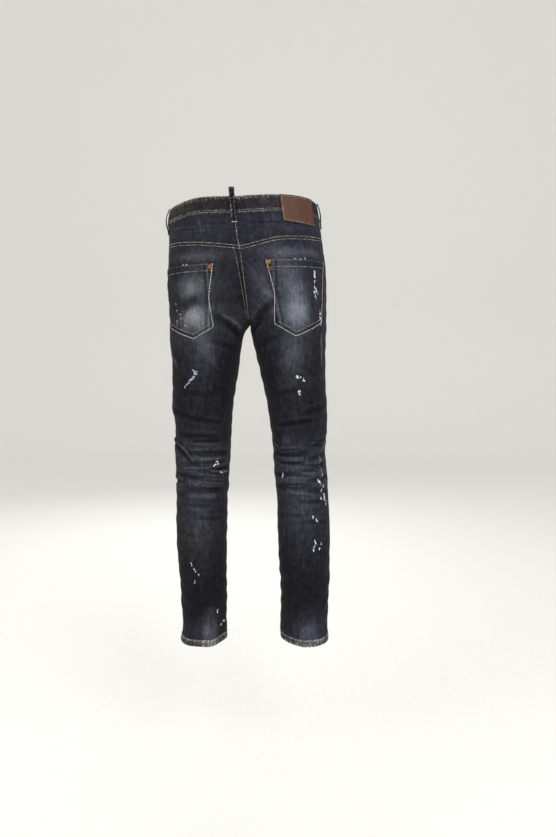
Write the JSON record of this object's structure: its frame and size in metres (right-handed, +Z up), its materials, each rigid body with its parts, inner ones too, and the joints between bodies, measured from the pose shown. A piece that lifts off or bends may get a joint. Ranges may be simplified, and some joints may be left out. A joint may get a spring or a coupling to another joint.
{
  "type": "jeans",
  "caption": "Slim five-pocket jeans in washed black denim, held hollow in their worn shape, with pointed back pockets, a leather waist patch and a tall loop at the centre back.",
  "frame": {"origin": "the middle of the waist opening, level with the top of the waistband at the centre back", "axes": "+Z up, the wearer faces -Y, the wearer's left is +X"},
  "size_m": [0.3684, 0.2478, 0.9985],
  "materials": {
    "washed_black_denim": "matte, faded on the thighs, seat, knees and hems",
    "brown_leather": "matte, lighter at the edges",
    "antique_copper": "dull, aged"
  },
  "bodies": {
    "root": {"back_left": "washed_black_denim", "back_right": "washed_black_denim", "front_left": "washed_black_denim", "front_right": "washed_black_denim", "yoke_left": "washed_black_denim", "yoke_right": "washed_black_denim", "waistband": "washed_black_denim", "hem_left": "washed_black_denim", "hem_right": "washed_black_denim", "back_pocket_left": "washed_black_denim", "back_pocket_right": "washed_black_denim", "pocket_facing_left": "washed_black_denim", "pocket_facing_right": "washed_black_denim", "belt_loop_centre": "washed_black_denim", "belt_loop_side_left": "washed_black_denim", "belt_loop_side_right": "washed_black_denim", "belt_loop_front_left": "washed_black_denim", "belt_loop_front_right": "washed_black_denim", "leather_patch": "brown_leather", "waist_button": "antique_copper"}
  },
  "joints": []
}
